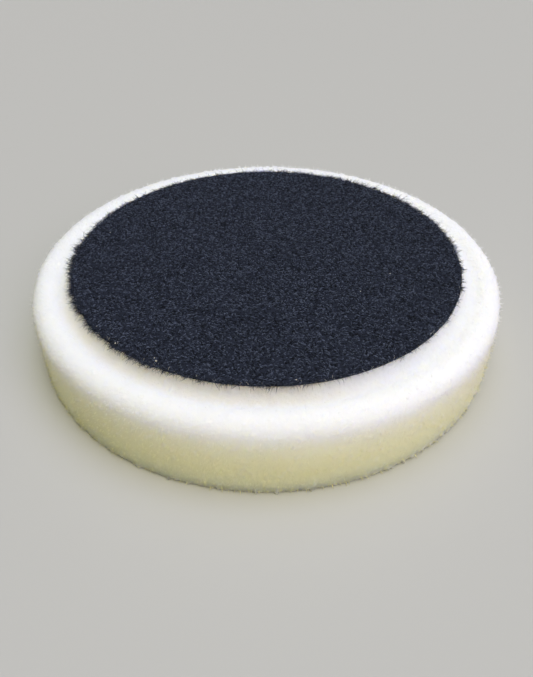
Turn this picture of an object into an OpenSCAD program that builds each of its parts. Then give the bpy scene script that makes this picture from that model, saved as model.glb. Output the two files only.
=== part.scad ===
// Foam polishing pad with a hook-and-loop backing disc.
//
// The pad lies on its working face. The origin is the centre of that face, +Z points
// up through the backing disc, and +Z is the axis that the pad spins about in use.
// Four physical pieces are stacked on that axis:
//   foam_body    one disc of cut polyurethane foam, with a raised collar for the backing
//   glue_film    the hot-melt film that bonds the backing to the collar
//   loop_ground  the knitted ground cloth of the backing
//   loop_pile    the brushed nylon loops that stand on the ground cloth
// All sizes are in millimetres.

/* [Foam] */
// Diameter of the foam disc
foam_d = 150; // [80:1:200]
// Height of the crest of the rounded rim
rim_h = 25.5; // [12:0.5:50]
// Radius of the rounded rim, between crest and side wall
rim_r = 4.6; // [3:0.1:6]
// Radius of the lower edge, between side wall and working face
edge_r = 1.2; // [0.2:0.1:4]

/* [Collar] */
// Height of the collar's top above the crest of the rim
collar_rise = 1.2; // [0.4:0.1:4]
// Width of the ring of foam left bare around the backing disc
collar_margin = 0.3; // [0:0.1:1]
// Radius of the concave cove between the collar and the rim
cove_r = 4; // [3:0.1:6]

/* [Backing disc] */
// Width of the foam that overhangs the backing disc all round
overhang = 12.5; // [11:0.1:15]
// Thickness of the glue film
film_t = 0.2; // [0.1:0.05:0.4]
// Thickness of the knitted ground cloth
ground_t = 0.4; // [0.3:0.05:1]
// Height of the brushed loops above the ground cloth
pile_t = 0.7; // [0.5:0.05:2]
// Radius of the pile's outer edge, where the loops lean outwards
pile_edge_r = 0.4; // [0.1:0.05:0.5]

/* [Hidden] */
$fn = 180;

foam_r = foam_d / 2;
loop_r = foam_r - overhang;

// Heights of the faces where one piece meets the next
collar_h = rim_h + collar_rise;
film_top = collar_h + film_t;
ground_top = film_top + ground_t;

// In the foam's section, x is the distance from the spin axis and y is the height.
// The cove starts at the collar's edge and runs smoothly into the round of the rim,
// so its centre is cove_r from that edge and cove_r + rim_r from the rim's centre.
collar_edge = [loop_r + collar_margin, collar_h];
rim_centre = [foam_r - rim_r, rim_h - rim_r];
cove_centre = third_corner(collar_edge, cove_r, rim_centre, cove_r + rim_r);
cove_end = rim_centre + (cove_centre - rim_centre) * rim_r / (cove_r + rim_r);

// The upper corner of a triangle on the base from a to b, from the lengths of its sides
function third_corner(a, from_a, b, from_b) =
    let (
        base = norm(b - a),
        along = (from_a * from_a - from_b * from_b + base * base) / (2 * base),
        above = sqrt(from_a * from_a - along * along),
        u = (b - a) / base
    )
    a + u * along + [-u[1], u[0]] * above;

// The corner that rounding takes off a square edge, its point at [radius, radius]
module edge_waste(radius) {
    difference() {
        square(radius);
        circle(radius);
    }
}

// Half of the foam's section, from the axis out to the side wall
module foam_section() {
    difference() {
        union() {
            square([foam_r, rim_centre[1]]);
            square([cove_centre[0], collar_h]);
            square(cove_end);
            translate(rim_centre) circle(rim_r);
        }
        translate(cove_centre) circle(cove_r);
        translate([foam_r - edge_r, edge_r]) mirror([0, 1]) edge_waste(edge_r);
    }
}

// Foam disc: side wall, rounded rim, cove and raised collar in one cut piece
module foam_body() {
    color("ivory") rotate_extrude() foam_section();
}

// Bond line, covering the whole disc between collar and ground cloth
module glue_film() {
    color("wheat") translate([0, 0, collar_h]) cylinder(h = film_t, r = loop_r);
}

// Die-cut disc of knitted cloth that carries the loops
module loop_ground() {
    color("darkslategray") translate([0, 0, film_top]) cylinder(h = ground_t, r = loop_r);
}

// Brushed loops as one low solid whose outer edge is rounded over
module loop_pile() {
    color("#2b2f39")
        translate([0, 0, ground_top])
            rotate_extrude()
                difference() {
                    square([loop_r, pile_t]);
                    translate([loop_r - pile_edge_r, pile_t - pile_edge_r]) edge_waste(pile_edge_r);
                }
}

foam_body();
glue_film();
loop_ground();
loop_pile();
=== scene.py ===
import math

import bpy
import numpy as np
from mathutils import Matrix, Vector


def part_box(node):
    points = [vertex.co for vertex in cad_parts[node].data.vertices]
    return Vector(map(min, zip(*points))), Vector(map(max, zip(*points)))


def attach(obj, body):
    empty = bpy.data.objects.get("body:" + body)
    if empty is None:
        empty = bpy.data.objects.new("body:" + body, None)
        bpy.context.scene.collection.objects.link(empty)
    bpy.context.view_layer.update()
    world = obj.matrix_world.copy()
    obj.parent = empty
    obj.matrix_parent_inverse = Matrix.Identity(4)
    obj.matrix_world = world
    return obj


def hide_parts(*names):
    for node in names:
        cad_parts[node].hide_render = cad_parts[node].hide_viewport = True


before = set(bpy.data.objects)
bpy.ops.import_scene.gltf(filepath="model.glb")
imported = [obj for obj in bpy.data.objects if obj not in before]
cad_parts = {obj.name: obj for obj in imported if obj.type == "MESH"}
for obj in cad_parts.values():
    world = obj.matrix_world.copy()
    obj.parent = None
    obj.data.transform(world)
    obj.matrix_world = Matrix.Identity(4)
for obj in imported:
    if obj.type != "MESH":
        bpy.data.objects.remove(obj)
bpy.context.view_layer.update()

MM = 0.001
BODY = "root"

# Sizes taken from the parts in model.glb, in metres
FOAM_LOW, FOAM_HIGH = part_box("foam_body")
FILM_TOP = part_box("glue_film")[1][2]
GROUND_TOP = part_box("loop_ground")[1][2]
PILE_LOW, PILE_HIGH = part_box("loop_pile")
FOAM_R = (FOAM_HIGH[0] - FOAM_LOW[0]) / 2
COLLAR_H = FOAM_HIGH[2]
LOOP_R = (PILE_HIGH[0] - PILE_LOW[0]) / 2
PILE_TOP = PILE_HIGH[2]
PILE_T = PILE_TOP - GROUND_TOP

# The foam's section, with the part's own dimensions
COLLAR_RISE = 1.2 * MM
COLLAR_MARGIN = 0.3 * MM
COVE_R = 4.0 * MM
RIM_R = 4.6 * MM
EDGE_R = 1.2 * MM
COLLAR_EDGE = (LOOP_R + COLLAR_MARGIN, COLLAR_H)
RIM_CENTRE = (FOAM_R - RIM_R, COLLAR_H - COLLAR_RISE - RIM_R)


# ---------------------------------------------------------------- vectors and profiles

def unit(ways):
    """The same directions with a length of 1."""
    return ways / np.linalg.norm(ways, axis=-1, keepdims=True)


def around(radius, turn, height):
    """Points at a distance from the axis, in a direction and at a height."""
    return np.stack(np.broadcast_arrays(radius * np.cos(turn), radius * np.sin(turn), height), -1)


def third_corner(a, from_a, b, from_b):
    """The upper corner of a triangle on the base from a to b, from the lengths of its sides."""
    a, b = np.array(a), np.array(b)
    base = math.dist(a, b)
    along = (from_a**2 - from_b**2 + base**2) / (2 * base)
    above = math.sqrt(from_a**2 - along**2)
    u = (b - a) / base
    return a + u * along + np.array((-u[1], u[0])) * above


def arc(centre, radius, start, end, step):
    """Points along an arc in the section plane, between two angles in radians."""
    count = max(2, round(abs(end - start) * radius / step) + 1)
    turn = np.linspace(start, end, count)
    return np.array(centre) + radius * np.stack([np.cos(turn), np.sin(turn)], 1)


def line(start, end, step):
    """Points along a straight line, about a step apart."""
    count = max(2, round(math.dist(start, end) / step) + 1)
    t = np.linspace(0, 1, count)[:, None]
    return np.array(start) * (1 - t) + np.array(end) * t


def joined(*stretches):
    """One profile from stretches that share their end points."""
    return np.concatenate([s[:-1] for s in stretches[:-1]] + [stretches[-1]])


# How far inside the disc's edge the section starts
UNDER_DISC = 2 * MM


def foam_section(step):
    """The foam's outline, from under the disc's edge over the rim and down to the working face."""
    cove = third_corner(COLLAR_EDGE, COVE_R, RIM_CENTRE, COVE_R + RIM_R)
    to_rim = math.atan2(RIM_CENTRE[1] - cove[1], RIM_CENTRE[0] - cove[0])
    to_collar = math.atan2(COLLAR_EDGE[1] - cove[1], COLLAR_EDGE[0] - cove[0])
    return joined(
        line((LOOP_R - UNDER_DISC, COLLAR_H), COLLAR_EDGE, step),
        arc(cove, COVE_R, to_collar, to_rim, step),
        arc(RIM_CENTRE, RIM_R, to_rim + math.pi, 0, step),
        line((FOAM_R, RIM_CENTRE[1]), (FOAM_R, EDGE_R), step),
        arc((FOAM_R - EDGE_R, EDGE_R), EDGE_R, 0, -math.pi / 2, step),
    )


def outward(profile):
    """The outward direction at each point of a profile that runs from its top to its bottom."""
    along = unit(np.gradient(profile, axis=0))
    return np.stack([-along[:, 1], along[:, 0]], 1)


# ---------------------------------------------------------------- mesh building

# A ring of a smaller radius is a single point on the axis
AT_AXIS = 1e-9
# The fewest points in any other ring
FEWEST = 8


def disc_counts(radii, spacing, most):
    """How many points each ring of a flat face needs: a power of two that keeps them spacing apart."""
    wanted = 2 * math.pi * np.maximum(radii, AT_AXIS) / spacing
    counts = 2 ** np.ceil(np.log2(np.maximum(wanted, FEWEST))).astype(int)
    return np.where(radii < AT_AXIS, 1, np.minimum(counts, most))


def stitch(first, n, second, m):
    """Triangles between two neighbouring rings of n and m points, one count a multiple of the other."""
    big = max(n, m)
    j = np.arange(big)
    k = (j + 1) % big
    a, b = first + j * n // big, second + j * m // big
    c, d = first + k * n // big, second + k * m // big
    tris = np.concatenate([np.stack([a, b, c], 1), np.stack([c, b, d], 1)])
    real = (tris[:, 0] != tris[:, 1]) & (tris[:, 1] != tris[:, 2]) & (tris[:, 0] != tris[:, 2])
    return tris[real]


class Lathe:
    """A closed round body: rings of points from the centre of its top to the centre of its bottom."""

    def __init__(self, profile, counts):
        out = outward(profile)
        starts = np.concatenate([[0], np.cumsum(counts)])
        turn = np.concatenate([np.arange(n) * 2 * math.pi / n for n in counts])
        ring = np.repeat(np.arange(len(counts)), counts)
        self.radius, self.height = profile[ring, 0], profile[ring, 1]
        self.points = around(self.radius, turn, self.height)
        self.out = around(out[ring, 0], turn, out[ring, 1])
        pairs = range(len(counts) - 1)
        self.faces = np.concatenate(
            [stitch(starts[i], counts[i], starts[i + 1], counts[i + 1]) for i in pairs]
        )


def mesh_object(name, points, faces, material):
    """A smooth triangle mesh in one material."""
    mesh = bpy.data.meshes.new(name)
    mesh.vertices.add(len(points))
    mesh.vertices.foreach_set("co", np.asarray(points, np.float32).ravel())
    mesh.loops.add(faces.size)
    mesh.loops.foreach_set("vertex_index", faces.astype(np.int32).ravel())
    mesh.polygons.add(len(faces))
    mesh.polygons.foreach_set("loop_start", np.arange(0, faces.size, 3, dtype=np.int32))
    mesh.update(calc_edges=True)
    mesh.validate()
    mesh.polygons.foreach_set("use_smooth", np.ones(len(mesh.polygons), bool))
    mesh.materials.append(material)
    obj = bpy.data.objects.new(name, mesh)
    bpy.context.scene.collection.objects.link(obj)
    return obj


def piece(obj, slot, *replaced):
    """Rides on the pad's one body, and hides the parts it replaces; the slot is not used."""
    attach(obj, BODY)
    if replaced:
        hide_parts(*replaced)


# ---------------------------------------------------------------- noise

# Multipliers of the integer hash that scrambles a cell
CELL_PRIMES = np.array((73856093, 19349663, 83492791))
FIRST_MIX, SECOND_MIX, THIRD_MIX = 2654435761, 2246822519, 3266489917
STREAM_STEP = 40503
WORD = 0xFFFFFFFF

# In cells: further than any neighbouring cell's point, and the width of a wall's slope
BEYOND = 9.0
WALL_SLOPE = 0.5


def scrambled(cell, seed, stream):
    """A repeatable number from 0 to 1 for each integer cell."""
    x, y, z = (cell * CELL_PRIMES).T
    h = ((x ^ y ^ z ^ seed) * (FIRST_MIX + STREAM_STEP * stream)) & WORD
    h = ((h ^ (h >> 15)) * SECOND_MIX) & WORD
    h = ((h ^ (h >> 13)) * THIRD_MIX) & WORD
    return (h ^ (h >> 16)) / WORD


def windows(points, size, seed):
    """How deep each point lies in an open cell of the foam: 0 on a cell wall, 1 in its middle."""
    grid = np.floor(points / size).astype(np.int64)
    nearest = np.full(len(points), BEYOND)
    second = nearest.copy()
    for shift in np.ndindex(3, 3, 3):
        cell = grid + np.array(shift) - 1
        jitter = np.stack([scrambled(cell, seed, stream) for stream in (1, 2, 3)], 1)
        distance = np.linalg.norm(points / size - cell - jitter, axis=1)
        second = np.minimum(np.maximum(nearest, distance), second)
        nearest = np.minimum(nearest, distance)
    return np.clip((second - nearest) / WALL_SLOPE, 0, 1)


def smooth_noise(points, size, seed):
    """Smooth noise from -1 to 1 with features about size across."""
    scaled = points / size
    grid = np.floor(scaled).astype(np.int64)
    t = scaled - grid
    t = t * t * (3 - 2 * t)
    total = np.zeros(len(points))
    for corner in np.ndindex(2, 2, 2):
        weight = np.prod(np.where(np.array(corner), t, 1 - t), axis=1)
        total += weight * scrambled(grid + np.array(corner), seed, 1)
    return 2 * total - 1


# ---------------------------------------------------------------- material nodes

def new_material(name, colour, roughness):
    """A material, and its Principled shader to set up and add detail to."""
    mat = bpy.data.materials.new(name)
    mat.use_nodes = True
    shader = mat.node_tree.nodes["Principled BSDF"]
    shader.inputs["Base Color"].default_value = (*colour, 1)
    shader.inputs["Roughness"].default_value = roughness
    return mat, shader


def node(mat, kind, values=(), **settings):
    """A shader node, its settings, and its inputs given as (name or index, value or output socket)."""
    new = mat.node_tree.nodes.new(kind)
    for key, value in settings.items():
        setattr(new, key, value)
    for key, value in values:
        if isinstance(value, bpy.types.NodeSocket):
            mat.node_tree.links.new(value, new.inputs[key])
        else:
            new.inputs[key].default_value = value
    return new


def link(mat, output, shader, name):
    """Drives one of the shader's inputs."""
    mat.node_tree.links.new(output, shader.inputs[name])


def place_of(mat):
    """Each point's place in the object's own space."""
    return node(mat, "ShaderNodeTexCoord").outputs["Object"]


def noise(mat, size, detail=2.0):
    """Noise from 0 to 1 with features about size across."""
    values = [("Vector", place_of(mat)), ("Scale", 1 / size), ("Detail", detail)]
    return node(mat, "ShaderNodeTexNoise", values).outputs["Fac"]


def maths(mat, operation, a, b):
    """One arithmetic step on two numbers."""
    return node(mat, "ShaderNodeMath", [(0, a), (1, b)], operation=operation).outputs[0]


def vectors(mat, operation, output, *values):
    """One arithmetic step on vectors or colours."""
    return node(mat, "ShaderNodeVectorMath", enumerate(values), operation=operation).outputs[output]


def mapped(mat, value, start, end, low, high, curve="LINEAR"):
    """A value that goes from low to high as another goes from start to end."""
    values = [
        ("Value", value), ("From Min", start), ("From Max", end), ("To Min", low), ("To Max", high),
    ]
    return node(mat, "ShaderNodeMapRange", values, interpolation_type=curve).outputs[0]


def ramp(mat, source, stops):
    """Colours spread along a value from 0 to 1, given as (place, colour)."""
    spread = node(mat, "ShaderNodeValToRGB", [("Fac", source)])
    elements = spread.color_ramp.elements
    while len(elements) < len(stops):
        elements.new(0.5)
    for element, (place, colour) in zip(elements, stops):
        element.position = place
        element.color = (*colour, 1)
    return spread.outputs["Color"]


def bump(mat, shader, height, distance, strength=1.0):
    """Raises the surface by at most a distance, following a height from 0 to 1."""
    values = [("Height", height), ("Distance", distance), ("Strength", strength)]
    link(mat, node(mat, "ShaderNodeBump", values).outputs["Normal"], shader, "Normal")


def grey(value):
    """A colour with no hue."""
    return (value, value, value)


def greys(*stops):
    """Ramp stops given as (place, grey value)."""
    return [(place, grey(value)) for place, value in stops]


def scaled_colour(colour, factor):
    """A lighter or darker version of a colour."""
    return tuple(min(1.0, channel * factor) for channel in colour)


# Most of a noise's values lie between these
NOISE_LOW, NOISE_HIGH = 0.3, 0.7


# ---------------------------------------------------------------- foam material

FOAM_COLOUR = (0.93, 0.91, 0.84)
FOAM_ROUGHNESS = 0.9
FOAM_SPECULAR = 0.15
SCATTER_RADIUS = (1.0, 0.9, 0.6)
SCATTER_SCALE = 0.02

# Painted light and shade by height, as a share of the collar's height: a bluer top where most light
# falls, a yellower wall below that gets less, and a lighter foot against the shade by the floor
FOAM_LIGHT_BY_HEIGHT = (
    (0.0, (1.0, 0.965, 0.43)),
    (0.14, (0.92, 0.88, 0.48)),
    (0.3, (0.905, 0.865, 0.51)),
    (0.5, (0.915, 0.88, 0.6)),
    (0.65, (0.925, 0.9, 0.725)),
    (0.78, (0.935, 0.925, 0.885)),
    (0.9, (0.94, 0.945, 0.99)),
)
MOTTLE_SIZE = 6 * MM
MOTTLE_DETAIL = 3
MOTTLE = greys((NOISE_LOW, 0.97), (NOISE_HIGH, 1.0))

# A faint painted shade in the cove, on the side that faces away from the light: its colour, its
# direction, and where it starts and is full
COVE_SHADE = (0.965, 0.91, 0.79)
COVE_SHADE_WAY = (-0.45, -0.89, 0)
COVE_SHADE_NEAR, COVE_SHADE_FAR = LOOP_R + 2.5 * MM, LOOP_R + 6.5 * MM
COVE_SHADE_FROM, COVE_SHADE_FULL = 0.3 * LOOP_R, 0.95 * LOOP_R

PORE_SIZE = 0.6 * MM
# Height and roughness from the wall between two pores to a pore's middle
PORE_WALLS = greys((0.0, 1), (0.22, 0.2), (0.6, 0))
PORE_ROUGHNESS = greys((0.0, 0.8), (0.4, 0.97))
PORE_STRENGTH = 0.6


def painted_light_by_height(mat, place):
    """Painted light and shade: the foam's colour changed by height to follow how the light falls."""
    height = node(mat, "ShaderNodeSeparateXYZ", [("Vector", place)]).outputs["Z"]
    return ramp(mat, maths(mat, "DIVIDE", height, COLLAR_H), FOAM_LIGHT_BY_HEIGHT)


def painted_cove_shade(mat, place):
    """Painted shade in the cove, strongest on the side away from the light."""
    flat = vectors(mat, "MULTIPLY", 0, place, (1, 1, 0))
    radius = vectors(mat, "LENGTH", "Value", flat)
    near = mapped(mat, radius, COVE_SHADE_NEAR, COVE_SHADE_FAR, 1, 0, "SMOOTHSTEP")
    toward = vectors(mat, "DOT_PRODUCT", "Value", place, COVE_SHADE_WAY)
    side = mapped(mat, toward, COVE_SHADE_FROM, COVE_SHADE_FULL, 0, 1, "SMOOTHSTEP")
    return ramp(mat, maths(mat, "MULTIPLY", near, side), [(0.0, grey(1)), (1.0, COVE_SHADE)])


def foam_look(name, bump_height, scatter):
    """Open-cell foam: painted light and shade by height, yellower towards its foot, mottled, with a
    painted shade in the cove, porous, with scattered light.
    """
    mat, shader = new_material(name, FOAM_COLOUR, FOAM_ROUGHNESS)
    shader.inputs["Specular IOR Level"].default_value = FOAM_SPECULAR
    shader.inputs["Subsurface Weight"].default_value = scatter
    shader.inputs["Subsurface Radius"].default_value = SCATTER_RADIUS
    shader.inputs["Subsurface Scale"].default_value = SCATTER_SCALE
    place = place_of(mat)
    mottle = ramp(mat, noise(mat, MOTTLE_SIZE, MOTTLE_DETAIL), MOTTLE)
    # Painted light and shade by height, times the foam's random mottle
    tint = vectors(mat, "MULTIPLY", 0, painted_light_by_height(mat, place), mottle)
    # Times a painted shade in the cove, on the side away from the light
    tint = vectors(mat, "MULTIPLY", 0, tint, painted_cove_shade(mat, place))
    link(mat, tint, shader, "Base Color")
    values = [("Vector", place), ("Scale", 1 / PORE_SIZE)]
    pores = node(mat, "ShaderNodeTexVoronoi", values, feature="DISTANCE_TO_EDGE").outputs["Distance"]
    link(mat, ramp(mat, pores, PORE_ROUGHNESS), shader, "Roughness")
    bump(mat, shader, ramp(mat, pores, PORE_WALLS), bump_height, PORE_STRENGTH)
    return mat


# ---------------------------------------------------------------- yarn and glue materials

# Yarn shades: the dye's own tone from strand to strand, spread far wider than dye alone, so that the
# darkest paint strands in shade and the lightest paint lit strands. The ground cloth and the pile's mat
# take the darker end, painted shade in the gaps between loops.
YARN_DARK = (0.001, 0.0015, 0.004)
YARN_MID = (0.024, 0.03, 0.052)
YARN_LIGHT = (0.118, 0.142, 0.215)
GROUND_SHADES = ((0.1, YARN_DARK), (0.9, YARN_MID))
LOOP_SHADES = ((0.2, YARN_DARK), (0.5, YARN_MID), (0.98, YARN_LIGHT))
YARN_SPECULAR = 0.12
YARN_SHEEN = 0.03
SHEEN_ROUGHNESS = 0.4
SHEEN_TINT = (0.6, 0.68, 0.9, 1)
PATCH_SHADE = (0.9, 1.0)
GRAIN_SHARE = 0.25
GRAIN_DETAIL = 3
GRAIN_HEIGHT = 0.03 * MM
GRAIN_STRENGTH = 0.5
GRAIN_ROUGHNESS = 0.1


def yarn_look(name, shades, size, roughness):
    """Dull dyed nylon: each strand has its own shade, in patches, spread wide enough to paint shaded
    and lit strands, with a finely uneven surface.
    """
    mat, shader = new_material(name, shades[1][1], roughness)
    shader.inputs["Specular IOR Level"].default_value = YARN_SPECULAR
    shader.inputs["Sheen Weight"].default_value = YARN_SHEEN
    shader.inputs["Sheen Roughness"].default_value = SHEEN_ROUGHNESS
    shader.inputs["Sheen Tint"].default_value = SHEEN_TINT
    strand = node(mat, "ShaderNodeNewGeometry").outputs["Random Per Island"]
    patch = mapped(mat, noise(mat, size), NOISE_LOW, NOISE_HIGH, *PATCH_SHADE)
    link(mat, ramp(mat, maths(mat, "MULTIPLY", strand, patch), shades), shader, "Base Color")
    grain = noise(mat, size * GRAIN_SHARE, GRAIN_DETAIL)
    uneven = greys((NOISE_LOW, roughness - GRAIN_ROUGHNESS), (NOISE_HIGH, roughness + GRAIN_ROUGHNESS))
    link(mat, ramp(mat, grain, uneven), shader, "Roughness")
    bump(mat, shader, grain, GRAIN_HEIGHT, GRAIN_STRENGTH)
    return mat


GLUE_COLOUR = (0.74, 0.7, 0.6)
GLUE_SHADES = (
    (NOISE_LOW, scaled_colour(GLUE_COLOUR, 0.85)),
    (NOISE_HIGH, scaled_colour(GLUE_COLOUR, 1.15)),
)
GLUE_ROUGHNESS = 0.4
GLUE_POLISH = greys((NOISE_LOW, 0.3), (NOISE_HIGH, 0.5))
GLUE_SCATTER = 0.3
GLUE_SCALE = 0.002
RIPPLE_SIZE = 2 * MM
RIPPLE_DETAIL = 3
RIPPLE_HEIGHT = 0.05 * MM


def glue_look():
    """Hot-melt film: pale, half glossy, with a rippled face."""
    mat, shader = new_material("hot_melt", GLUE_COLOUR, GLUE_ROUGHNESS)
    shader.inputs["Subsurface Weight"].default_value = GLUE_SCATTER
    shader.inputs["Subsurface Scale"].default_value = GLUE_SCALE
    ripple = noise(mat, RIPPLE_SIZE, RIPPLE_DETAIL)
    link(mat, ramp(mat, ripple, GLUE_SHADES), shader, "Base Color")
    link(mat, ramp(mat, ripple, GLUE_POLISH), shader, "Roughness")
    bump(mat, shader, ripple, RIPPLE_HEIGHT)
    return mat


# ---------------------------------------------------------------- foam

FOAM_COLUMNS = 1024
SECTION_STEP = 0.46 * MM
UNDER_STEP = 2.6 * MM
UNDER_SPACING = 0.95 * MM
# Inside this radius the disc hides the collar's top, which is left plain
HIDDEN_R = LOOP_R - 1 * MM
HIDDEN_DEPTH = 0.1 * MM
CELL = 1.0 * MM
CELL_DEPTH = 0.24 * MM
LUMP = 0.9 * MM
LUMP_HEIGHT = 0.5 * MM
# Where in the noise, from -1 to 1, a lump starts, and how much further on it is full
LUMP_START = 0.4
LUMP_RISE = 0.4
WAVE = 14 * MM
WAVE_DEPTH = 0.12 * MM
# How much deeper all of it gets by the lower edge
EDGE_ROUGH = 0.9
OUTSET = 0.12 * MM


def foam_relief(body):
    """How far the surface lies inside the section: its cells and its wave, less its lumps."""
    depth = CELL_DEPTH * windows(body.points, CELL, seed=11)
    lumps = smooth_noise(body.points, LUMP, seed=12)
    depth -= LUMP_HEIGHT * np.clip((lumps - LUMP_START) / LUMP_RISE, 0, 1)
    depth += WAVE_DEPTH * (1 + smooth_noise(body.points, WAVE, seed=5)) / 2
    depth *= 1 + EDGE_ROUGH * np.exp(-body.height / EDGE_R)
    depth -= OUTSET
    depth[(body.radius < HIDDEN_R) & (body.height > COLLAR_H - HIDDEN_DEPTH)] = 0
    return depth


def make_foam(material):
    """The foam disc: the whole section, its cut cells and its slight unevenness, closed underneath."""
    side = foam_section(SECTION_STEP)
    under = line((FOAM_R - EDGE_R, 0), (0, 0), UNDER_STEP)[1:]
    profile = np.concatenate([[(0, COLLAR_H)], side, under])
    under_counts = disc_counts(under[:, 0], UNDER_SPACING, FOAM_COLUMNS // 2)
    body = Lathe(profile, np.concatenate([[1], np.full(len(side), FOAM_COLUMNS), under_counts]))
    points = body.points - body.out * foam_relief(body)[:, None]
    points[:, 2] = np.maximum(points[:, 2], 0)
    obj = mesh_object("foam_disc", points, body.faces, material)
    piece(obj, "foam", "foam_body")


STRUT_COUNT = 15000
# The shortest strut, and how much longer one may be
STRUT_SHORTEST, STRUT_EXTRA = 0.4 * MM, 1.1 * MM
STRUT_WIDTH = (0.12 * MM, 0.2 * MM)
STRUT_ROOT = 0.6 * MM
STRUT_STEP = 0.1 * MM
STRUT_GAP = 0.1 * MM
STRUT_LEAN = 0.55
LOWEST_LEAN = -0.3
# The power that makes most struts and foam fibres short
MOSTLY_SHORT = 1.6


def spikes(root, tip, way, across, width):
    """Closed three-sided spikes from roots to tips, with their bases square to their ways."""
    aside = unit(np.cross(way, across))
    other = np.cross(way, aside)
    angles = [2 * math.pi * k / 3 for k in range(3)]
    corners = [root + (aside * math.cos(a) + other * math.sin(a)) * width[:, None] for a in angles]
    starts = np.arange(len(root))[:, None, None] * 4
    faces = starts + np.array([(0, 2, 1), (0, 1, 3), (1, 2, 3), (2, 0, 3)])
    return np.stack([*corners, tip], 1).reshape(-1, 3), faces.reshape(-1, 3)


def make_struts(material):
    """Cut ends of cell struts, which stand out of the foam all over and make its outline ragged."""
    rng = np.random.default_rng(21)
    side = foam_section(STRUT_STEP)
    side = side[side[:, 0] > LOOP_R + STRUT_GAP]
    out = outward(side)
    pick = rng.choice(len(side), STRUT_COUNT, p=side[:, 0] / side[:, 0].sum())
    turn = rng.uniform(0, 2 * math.pi, STRUT_COUNT)
    at = around(side[pick, 0], turn, side[pick, 1])
    up = around(out[pick, 0], turn, out[pick, 1])
    lean = rng.normal(0, STRUT_LEAN, (STRUT_COUNT, 3))
    lean[:, 2] = np.maximum(lean[:, 2], LOWEST_LEAN)
    way = unit(up + lean)
    length = STRUT_SHORTEST + STRUT_EXTRA * rng.random(STRUT_COUNT) ** MOSTLY_SHORT
    width = rng.uniform(*STRUT_WIDTH, STRUT_COUNT)
    across = rng.normal(0, 1, (STRUT_COUNT, 3))
    points, faces = spikes(at - up * STRUT_ROOT, at + way * length[:, None], way, across, width)
    points[:, 2] = np.maximum(points[:, 2], 0)
    piece(mesh_object("foam_struts", points, faces, material), "foam")


# ---------------------------------------------------------------- backing disc's flat layers

DISC_STEP = 0.8 * MM
DISC_COLUMNS = 512
# How near a face's height a point has to be to lie on that face
LEVEL = 0.01 * MM


def flat_body(*stretches):
    """A thin round body from the stretches of its profile."""
    profile = np.concatenate(stretches)
    return Lathe(profile, disc_counts(profile[:, 0], DISC_STEP, DISC_COLUMNS))


FILM_RINGS = np.array([0, 20, 40, 56, 61]) * MM
FILM_INSET = 0.3 * MM
FILM_BULGE = 0.05 * MM
SQUEEZE = 0.15 * MM
SQUEEZE_SIZE = 3 * MM


def make_film():
    """The glue film, with the slightly uneven edge of a line that squeezed out."""
    rim = LOOP_R - FILM_INSET
    top = np.stack([FILM_RINGS, np.full(len(FILM_RINGS), FILM_TOP)], 1)
    edge = np.array([(rim, FILM_TOP), (rim + FILM_BULGE, (FILM_TOP + COLLAR_H) / 2), (rim, COLLAR_H)])
    body = flat_body(top, edge, top[::-1] * (1, 0) + (0, COLLAR_H))
    squeeze = smooth_noise(body.points * (1, 1, 0), SQUEEZE_SIZE, seed=31) * SQUEEZE
    squeeze[body.radius < HIDDEN_R] = 0
    points = body.points.copy()
    points[:, :2] *= (1 + squeeze / np.maximum(body.radius, MM))[:, None]
    piece(mesh_object("glue_line", points, body.faces, glue_look()), "hot_melt", "glue_film")


CLOTH_TOP_INSET = 0.5 * MM
CLOTH_EDGE_DROP = 0.08 * MM
CLOTH_EDGE_FOOT = 0.05 * MM
CLOTH_UNDER_INSET = 0.4 * MM
CLOTH_UNDER_STEP = 4 * MM
WALE = 0.9 * MM
RIB_DEPTH = 0.06 * MM
CUT_WIDTH = 0.3 * MM
CUT_SIZE = 0.9 * MM
# How far in the cut edge wanders, as a share of the radius
CUT_UNEVEN = 0.0015


def make_ground(material):
    """The knitted ground cloth: a thin sheet with the ribs of its knit and a die-cut edge."""
    body = flat_body(
        line((0, GROUND_TOP), (LOOP_R - CLOTH_TOP_INSET, GROUND_TOP), DISC_STEP),
        np.array([(LOOP_R, GROUND_TOP - CLOTH_EDGE_DROP), (LOOP_R, FILM_TOP + CLOTH_EDGE_FOOT)]),
        line((LOOP_R - CLOTH_UNDER_INSET, FILM_TOP), (0, FILM_TOP), CLOTH_UNDER_STEP),
    )
    points = body.points.copy()
    ribs = np.cos(points[:, 0] * 2 * math.pi / WALE) * np.cos(points[:, 1] * math.pi / WALE)
    on_top = body.height > GROUND_TOP - LEVEL
    points[on_top, 2] -= (RIB_DEPTH * (1 + ribs))[on_top]
    at_edge = body.radius > LOOP_R - CUT_WIDTH
    uneven = CUT_UNEVEN * (1 + smooth_noise(points, CUT_SIZE, seed=17))
    points[at_edge, :2] *= 1 - uneven[at_edge, None]
    obj = mesh_object("ground_cloth", points, body.faces, material)
    piece(obj, "ground_cloth", "loop_ground")


# The mat's height as a share of the pile's
MAT_SHARE = 0.5
MAT_TOP_INSET = 0.8 * MM
MAT_EDGE_INSET = 0.35 * MM
MAT_EDGE_DROP = 0.15 * MM
MAT_FOOT_INSET = 0.3 * MM
MAT_UNDER_INSET = 1 * MM
MAT_UNDER_STEP = 5 * MM
MAT_LUMP = 1.1 * MM
MAT_LUMP_HEIGHT = 0.16 * MM


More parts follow.
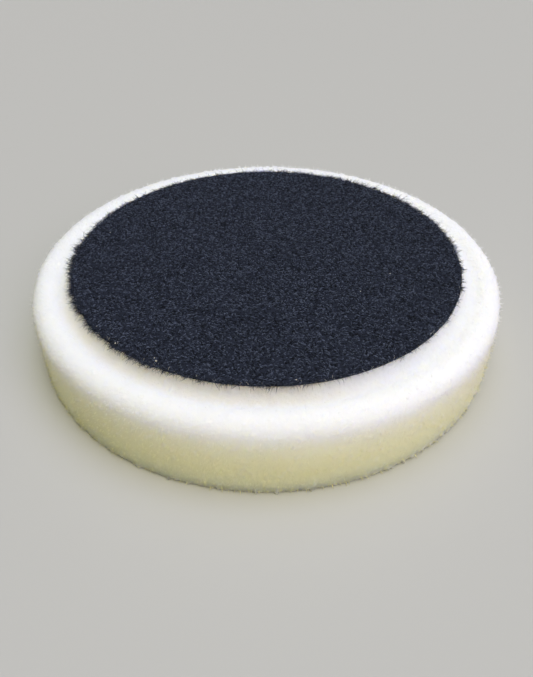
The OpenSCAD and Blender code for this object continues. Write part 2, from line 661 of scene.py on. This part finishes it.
def make_mat(material):
    """The matted foot of the pile, which the loops stand in: a dark sheet that also paints the shade in
    the gaps between them.
    """
    foot = GROUND_TOP + MAT_SHARE * PILE_T
    body = flat_body(
        line((0, foot), (LOOP_R - MAT_TOP_INSET, foot), DISC_STEP),
        np.array([
            (LOOP_R - MAT_EDGE_INSET, foot - MAT_EDGE_DROP),
            (LOOP_R - MAT_FOOT_INSET, GROUND_TOP),
        ]),
        line((LOOP_R - MAT_UNDER_INSET, GROUND_TOP), (0, GROUND_TOP), MAT_UNDER_STEP),
    )
    points = body.points.copy()
    on_top = body.height > foot - LEVEL
    lumps = smooth_noise(points, MAT_LUMP, seed=41) * MAT_LUMP_HEIGHT
    points[on_top, 2] += lumps[on_top]
    piece(mesh_object("pile_mat", points, body.faces, material), "loop_nylon", "loop_pile")


# ---------------------------------------------------------------- strands

# Three, so that one triangle closes each end
STRAND_SIDES = 3
# Nearly straight up, which no strand follows
UPRIGHT = (0.05, 0.02, 1.0)


def strands(path, width):
    """Closed tubes along paths of (strand, point, xyz), with a radius for each point."""
    count, rings, _ = path.shape
    along = unit(np.gradient(path, axis=1))
    aside = unit(np.cross(along, UPRIGHT))
    other = np.cross(along, aside)
    turn = np.arange(STRAND_SIDES) * 2 * math.pi / STRAND_SIDES
    ring = aside[:, :, None] * np.cos(turn)[:, None] + other[:, :, None] * np.sin(turn)[:, None]
    points = path[:, :, None] + ring * width[:, :, None, None]
    faces = []
    for low in range(0, (rings - 1) * STRAND_SIDES, STRAND_SIDES):
        high = low + STRAND_SIDES
        for j in range(STRAND_SIDES):
            k = (j + 1) % STRAND_SIDES
            faces += [(low + j, low + k, high + j), (low + k, high + k, high + j)]
    last = (rings - 1) * STRAND_SIDES
    faces += [(0, 2, 1), (last, last + 1, last + 2)]
    starts = np.arange(count)[:, None, None] * rings * STRAND_SIDES
    return points.reshape(-1, 3), (starts + np.array(faces)[None]).reshape(-1, 3)


def strand_piece(name, path, width, material, slot):
    """A piece made of many strands."""
    points, faces = strands(path, width)
    piece(mesh_object(name, points, faces, material), slot)


def tapered(width, t, loss):
    """Each strand's radius along its length, which loses a share of its width by the tip."""
    return width[:, None] * (1 - loss * t)[None]


EDGE_WAVE = 0.25 * MM
EDGE_INSET = 0.3 * MM
TUFT_SPAN = 2.6 * MM
FRAY_SPAN = 0.9 * MM
FRAY_SHARE = 0.5


def ragged_edge(turn):
    """Where the pile ends in each direction: the disc's own radius with an uneven, tufted outline."""
    flat = around(LOOP_R, turn, 0).reshape(-1, 3)
    wave = smooth_noise(flat, TUFT_SPAN, seed=61) + FRAY_SHARE * smooth_noise(flat, FRAY_SPAN, seed=62)
    return LOOP_R - EDGE_INSET + EDGE_WAVE * wave.reshape(turn.shape)


# ---------------------------------------------------------------- pile

LOOP_COUNT = 74000
LOOP_SECTORS = 8
LOOP_POINTS = 4
GOLDEN_TURN = math.pi * (3 - math.sqrt(5))
LOOP_JITTER = 0.2 * MM
# How the brushing turns whole patches of loops, and how each loop turns and bends by itself
NAP_SIZE = 4 * MM
NAP_TURN = 0.9
LOOP_TURN = 0.65
LOOP_BEND = 1.3
LOOP_LENGTH = (0.6 * MM, 1.2 * MM)
LOOP_WIDTH = (0.075 * MM, 0.12 * MM)
END_WIDTH, MIDDLE_WIDTH = 0.6, 0.4
# Heights of a loop's crest and foot, as shares of the pile's
CREST_SHARE = (0.2, 1.0)
FOOT_SHARE = 0.2
# The part of a half wave that a loop's arch takes, and the power that flattens its top
ARCH_START, ARCH_SPAN = 0.08, 0.84
ARCH_POWER = 0.8
# Where the pile starts to fall away inside its edge, and how steeply
FALL_INSET = 1.2 * MM
FALL = 0.4
CLOTH_GAP = 0.02 * MM
# How far past the ragged edge a loop may lie
PAST_EDGE = 0.1 * MM


def curl(middle, heading, bend, length, points):
    """Flat curved paths about their middle points: x and y of each point along each strand."""
    t = np.linspace(0, 1, points)
    way = heading[:, None] + bend[:, None] * (t - 0.5)
    step = length[:, None] / (points - 1)
    x = np.cumsum(np.cos(way) * step, axis=1)
    y = np.cumsum(np.sin(way) * step, axis=1)
    x += middle[:, :1] - x.mean(axis=1, keepdims=True)
    y += middle[:, 1:] - y.mean(axis=1, keepdims=True)
    return t, x, y


def loop_middles(rng):
    """Each loop's place: a sunflower's spiral, which fills the disc evenly, with some jitter."""
    k = np.arange(LOOP_COUNT)
    radius = (LOOP_R + EDGE_WAVE) * np.sqrt((k + 0.5) / LOOP_COUNT)
    spiral = around(radius, k * GOLDEN_TURN, 0)[:, :2]
    return spiral + rng.normal(0, LOOP_JITTER, (LOOP_COUNT, 2))


def loop_heights(rng, t, radius):
    """The height of each point of the loops: an arch, lower near the disc's edge."""
    crest = GROUND_TOP + rng.uniform(*CREST_SHARE, LOOP_COUNT) * PILE_T
    foot = GROUND_TOP + FOOT_SHARE * PILE_T * rng.random(LOOP_COUNT)
    arch = np.sin(math.pi * (ARCH_START + ARCH_SPAN * t)) ** ARCH_POWER
    z = foot[:, None] + (crest - foot)[:, None] * arch[None]
    over = np.maximum(radius - (LOOP_R - FALL_INSET), 0)
    return np.maximum(z - over * FALL, GROUND_TOP + CLOTH_GAP)


def make_pile(material):
    """The brushed loops: short curly strands that lie over each other in every direction."""
    rng = np.random.default_rng(7)
    middle = loop_middles(rng)
    nap = smooth_noise(np.column_stack([middle, np.zeros(LOOP_COUNT)]), NAP_SIZE, seed=51)
    heading = nap * NAP_TURN + rng.normal(0, LOOP_TURN, LOOP_COUNT)
    bend = rng.normal(0, LOOP_BEND, LOOP_COUNT)
    length = rng.uniform(*LOOP_LENGTH, LOOP_COUNT)
    t, x, y = curl(middle, heading, bend, length, LOOP_POINTS)
    radius = np.hypot(x, y)
    path = np.stack([x, y, loop_heights(rng, t, radius)], 2)
    fullness = END_WIDTH + MIDDLE_WIDTH * np.sin(math.pi * t)
    width = rng.uniform(*LOOP_WIDTH, LOOP_COUNT)[:, None] * fullness[None]
    inside = (radius - ragged_edge(np.arctan2(y, x))).max(axis=1) < PAST_EDGE
    turns = np.arctan2(middle[:, 1], middle[:, 0]) / (2 * math.pi) % 1
    sector = np.floor(turns * LOOP_SECTORS).astype(int)
    for i in range(LOOP_SECTORS):
        chosen = (sector == i) & inside
        strand_piece(f"pile_loops_{i + 1}", path[chosen], width[chosen], material, "loop_nylon")


# ---------------------------------------------------------------- loose fibres

FIBRE_POINTS = 5
# Where along a fibre its curve has turned it neither way
CURVE_PIVOT = 0.3


def leaning_out(turn, start, foot, length, swing, curve, lift, droop, points):
    """Paths of fibres that start near the disc's edge and lean outwards."""
    t = np.linspace(0, 1, points)
    way = (turn + swing)[:, None] + curve[:, None] * (t - CURVE_PIVOT)
    step = length[:, None] / (points - 1)
    path = around(start, turn, foot)[:, None] + np.cumsum(around(step, way, 0), axis=1)
    path[:, :, 2] += length[:, None] * (lift[:, None] * t - droop[:, None] * t**2)
    return t, path


FUR_COUNT = 5000
FUR_INSET = (0.3 * MM, 0.8 * MM)
FUR_FOOT = (GROUND_TOP - 0.3 * MM, PILE_TOP - 0.15 * MM)
FUR_LENGTH = (0.4 * MM, 0.95 * MM)
FUR_SWING = 0.6
FUR_CURVE = 1.2
FUR_LIFT = (0.1, 0.7)
FUR_DROOP = (0, 0.6)
FUR_WIDTH = (0.045 * MM, 0.075 * MM)
FUR_TAPER = 0.6


def make_fur(material):
    """Fibres at the cut edge: a short dense fur all round."""
    rng = np.random.default_rng(13)
    n = FUR_COUNT
    turn = rng.uniform(0, 2 * math.pi, n)
    start = ragged_edge(turn) - rng.uniform(*FUR_INSET, n)
    foot = rng.uniform(*FUR_FOOT, n)
    length = rng.uniform(*FUR_LENGTH, n)
    swing = rng.normal(0, FUR_SWING, n)
    curve = rng.normal(0, FUR_CURVE, n)
    lift = rng.uniform(*FUR_LIFT, n)
    droop = rng.uniform(*FUR_DROOP, n)
    t, path = leaning_out(turn, start, foot, length, swing, curve, lift, droop, FIBRE_POINTS)
    width = tapered(rng.uniform(*FUR_WIDTH, n), t, FUR_TAPER)
    strand_piece("edge_fur", path, width, material, "loop_nylon")


TUFTS = 1260
TUFT_TRIES = 4
TUFT_HAIRS = 5
TUFTED_SIDE = math.radians(-138)
# How often tufts come up all round, more on the tufted side, and more on that side and its opposite
OFTEN, OFTEN_SIDE, OFTEN_BOTH = 0.5, 0.2, 0.3
TUFT_SPREAD = 0.007
TUFT_SWING, HAIR_SWING = 0.45, 0.25
TUFT_CURVE, HAIR_CURVE = 0.8, 0.5
TUFT_INSET = (0.1 * MM, 0.5 * MM)
TUFT_REACH = (0.5, 1.0)
# How tufts reach further where there are more of them
SPARSE_REACH, DENSE_REACH = 0.8, 0.5
# The shortest hair, how much longer one may be, and the power that makes most short
HAIR_SHORTEST, HAIR_EXTRA = 0.7 * MM, 1.7 * MM
HAIR_POWER = 1.5
HAIR_FOOT = (GROUND_TOP - 0.1 * MM, PILE_TOP - 0.25 * MM)
HAIR_LIFT = (0.1, 0.9)
HAIR_DROOP = (0, 0.7)
HAIR_WIDTH = (0.05 * MM, 0.08 * MM)
HAIR_TAPER = 0.7


def tuft_places(rng):
    """Directions of the tufts, most on two opposite sides, and how often one comes up in each."""
    centre = rng.uniform(0, 2 * math.pi, TUFT_TRIES * TUFTS)
    aside = centre - TUFTED_SIDE
    often = OFTEN + OFTEN_SIDE * np.cos(aside) + OFTEN_BOTH * np.cos(2 * aside)
    chosen = np.flatnonzero(rng.random(TUFT_TRIES * TUFTS) < often)[:TUFTS]
    return centre[chosen], often[chosen]


def make_tufts(material):
    """Longer fibres at the cut edge, in tufts that lie out over the collar."""
    rng = np.random.default_rng(14)
    centre, often = tuft_places(rng)
    tufts = len(centre)
    tuft = np.repeat(np.arange(tufts), TUFT_HAIRS)
    n = len(tuft)
    turn = centre[tuft] + rng.normal(0, TUFT_SPREAD, n)
    swing = rng.normal(0, TUFT_SWING, tufts)[tuft] + rng.normal(0, HAIR_SWING, n)
    curve = rng.normal(0, TUFT_CURVE, tufts)[tuft] + rng.normal(0, HAIR_CURVE, n)
    start = ragged_edge(turn) - rng.uniform(*TUFT_INSET, n)
    reach = (rng.uniform(*TUFT_REACH, tufts) * (SPARSE_REACH + DENSE_REACH * often))[tuft]
    length = (HAIR_SHORTEST + HAIR_EXTRA * rng.random(n) ** HAIR_POWER) * reach
    foot = rng.uniform(*HAIR_FOOT, n)
    lift = rng.uniform(*HAIR_LIFT, n)
    droop = rng.uniform(*HAIR_DROOP, n)
    t, path = leaning_out(turn, start, foot, length, swing, curve, lift, droop, FIBRE_POINTS)
    width = tapered(rng.uniform(*HAIR_WIDTH, n), t, HAIR_TAPER)
    strand_piece("edge_tufts", path, width, material, "loop_nylon")


FUZZ_COUNT = 2400
FUZZ_POINTS = 4
FUZZ_REACH = (0.0, 1.0 * MM)
# How steeply the fibres' feet follow the cove down
FUZZ_SLOPE = 1.6
FUZZ_SUNK = 0.1 * MM
# The shortest fibre, and how much longer one may be
FUZZ_SHORTEST, FUZZ_EXTRA = 0.25 * MM, 0.85 * MM
FUZZ_CURVE = 1.0
FUZZ_LIFT = (0.9, 1.9)
FUZZ_WIDTH = (0.035 * MM, 0.06 * MM)
FUZZ_TAPER = 0.6


def make_fuzz(material):
    """Frayed foam along the collar: pale fibres that stand up beside the disc's edge."""
    rng = np.random.default_rng(29)
    n = FUZZ_COUNT
    turn = rng.uniform(0, 2 * math.pi, n)
    start = LOOP_R + rng.uniform(*FUZZ_REACH, n)
    foot = COLLAR_H - np.maximum(start - COLLAR_EDGE[0], 0) * FUZZ_SLOPE - FUZZ_SUNK
    length = FUZZ_SHORTEST + FUZZ_EXTRA * rng.random(n) ** MOSTLY_SHORT
    swing = rng.uniform(-math.pi, math.pi, n)
    curve = rng.normal(0, FUZZ_CURVE, n)
    lift = rng.uniform(*FUZZ_LIFT, n)
    t, path = leaning_out(turn, start, foot, length, swing, curve, lift, np.zeros(n), FUZZ_POINTS)
    width = tapered(rng.uniform(*FUZZ_WIDTH, n), t, FUZZ_TAPER)
    strand_piece("collar_fuzz", path, width, material, "foam")


# Foam crumbs caught in the pile: azimuth in degrees, distance from the centre, and size
CRUMBS = (
    (-118, 61.0 * MM, 0.26 * MM),
    (-119, 60.3 * MM, 0.16 * MM),
    (-83, 61.4 * MM, 0.2 * MM),
    (-131, 62.0 * MM, 0.22 * MM),
    (-39, 36.2 * MM, 0.15 * MM),
    (-19, 40.7 * MM, 0.14 * MM),
    (167, 55.2 * MM, 0.13 * MM),
)
CRUMB_STRANDS = 6
CRUMB_POINTS = 5
CRUMB_SUNK = 0.02 * MM
CRUMB_FLATNESS = (1, 1, 0.4)
CRUMB_BEND = 0.5
CRUMB_WIDTH = 0.28
CRUMB_TAPER = 0.5


def make_crumbs(material):
    """A few specks of foam dust caught in the loops, each a knot of short bent strands."""
    rng = np.random.default_rng(37)
    azimuth, distance, size = np.repeat(np.array(CRUMBS), CRUMB_STRANDS, axis=0).T
    centre = around(distance, np.radians(azimuth), PILE_TOP - CRUMB_SUNK)
    t = np.linspace(-1, 1, CRUMB_POINTS)
    way = unit(rng.normal(0, 1, centre.shape) * CRUMB_FLATNESS)
    aside = np.cross(way, rng.normal(0, 1, centre.shape))
    bent = way[:, None] * t[:, None] + aside[:, None] * CRUMB_BEND * (t**2)[:, None]
    path = centre[:, None] + bent * size[:, None, None]
    width = tapered(CRUMB_WIDTH * size, np.abs(t), CRUMB_TAPER)
    strand_piece("foam_crumbs", path, width, material, "foam")


# ---------------------------------------------------------------- camera, light and floor

CAMERA_ELEVATION = math.radians(37.84)
CAMERA_DISTANCE = 0.2161
# How far below the origin the camera looks
CAMERA_TILT = math.radians(1.89)
# The focal length as a share of the picture's height
FOCAL_SHARE = 603.2 / 677
SENSOR = 36
CLIP_START = 0.01

# Broad lights: name, azimuth and elevation in degrees, and colour
SUNS = (
    ("overhead", 0, 90, (0.82, 0.865, 1.0)),
    ("right", 0, 70, (0.54, 0.57, 0.71)),
    ("front", -90, 70, (1.05, 1.0, 0.45)),
    ("front_right", -45, 45, (0.74, 0.69, 0.8)),
    ("low_right", -45, 20, (0.38, 0.32, 0.42)),
    ("back", 90, 70, (0.26, 0.27, 0.36)),
)
SUN_ANGLE = math.radians(40)
FILL_COLOUR = (1.0, 0.95, 0.78)
FILL_STRENGTH = 0.13
BACKDROP = (0.56, 0.555, 0.535)
FLOOR_SIZE = 20.0
FLOOR_GREY = 0.45
FLOOR_ROUGHNESS = 0.8


def make_camera():
    """The photograph's viewpoint: the pad seen from the front at about 38 degrees above the floor."""
    data = bpy.data.cameras.new("camera")
    data.sensor_width = SENSOR
    data.lens = FOCAL_SHARE * SENSOR
    data.clip_start = CLIP_START
    cam = bpy.data.objects.new("camera", data)
    across, up = math.cos(CAMERA_ELEVATION), math.sin(CAMERA_ELEVATION)
    cam.location = (0, -CAMERA_DISTANCE * across, CAMERA_DISTANCE * up)
    cam.rotation_euler = (math.pi / 2 - CAMERA_ELEVATION - CAMERA_TILT, 0, 0)
    bpy.context.scene.collection.objects.link(cam)
    bpy.context.scene.camera = cam


def soft_sun(name, azimuth, elevation, colour):
    """A broad light from one direction, given by its azimuth and elevation in degrees."""
    data = bpy.data.lights.new(name, "SUN")
    data.angle = SUN_ANGLE
    data.energy = max(colour)
    data.color = [channel / max(colour) for channel in colour]
    obj = bpy.data.objects.new(name, data)
    obj.rotation_euler = (math.pi / 2 - math.radians(elevation), 0, math.radians(azimuth) + math.pi / 2)
    bpy.context.scene.collection.objects.link(obj)


def make_world():
    """A dim warm light from all round, and a plain pale backdrop where the floor ends."""
    world = bpy.data.worlds.new("world")
    bpy.context.scene.world = world
    world.use_nodes = True
    nodes, links = world.node_tree.nodes, world.node_tree.links
    fill = nodes["Background"]
    fill.inputs["Color"].default_value = (*FILL_COLOUR, 1)
    fill.inputs["Strength"].default_value = FILL_STRENGTH
    backdrop = nodes.new("ShaderNodeBackground")
    backdrop.inputs["Color"].default_value = (*BACKDROP, 1)
    seen = nodes.new("ShaderNodeLightPath").outputs["Is Camera Ray"]
    mix = nodes.new("ShaderNodeMixShader")
    links.new(seen, mix.inputs[0])
    links.new(fill.outputs[0], mix.inputs[1])
    links.new(backdrop.outputs[0], mix.inputs[2])
    links.new(mix.outputs[0], nodes["World Output"].inputs["Surface"])


def make_stage():
    """The plain floor, the lights, and the plain view of their colours."""
    bpy.ops.mesh.primitive_plane_add(size=FLOOR_SIZE)
    floor = bpy.context.object
    floor.name = "floor"
    mat, _ = new_material("floor", grey(FLOOR_GREY), FLOOR_ROUGHNESS)
    floor.data.materials.append(mat)
    make_world()
    for sun in SUNS:
        soft_sun(*sun)
    bpy.context.scene.view_settings.view_transform = "Standard"


# ---------------------------------------------------------------- the pad

make_camera()
make_stage()
make_foam(foam_look("foam", bump_height=0.12 * MM, scatter=1.0))
foam_fibre = foam_look("foam_fibre", bump_height=0.02 * MM, scatter=0.0)
make_struts(foam_fibre)
make_fuzz(foam_fibre)
make_crumbs(foam_fibre)
make_film()
ground_yarn = yarn_look("ground_yarn", GROUND_SHADES, size=0.6 * MM, roughness=0.8)
make_ground(ground_yarn)
make_mat(ground_yarn)
loop_yarn = yarn_look("loop_yarn", LOOP_SHADES, size=0.9 * MM, roughness=0.6)
make_pile(loop_yarn)
make_fur(loop_yarn)
make_tufts(loop_yarn)
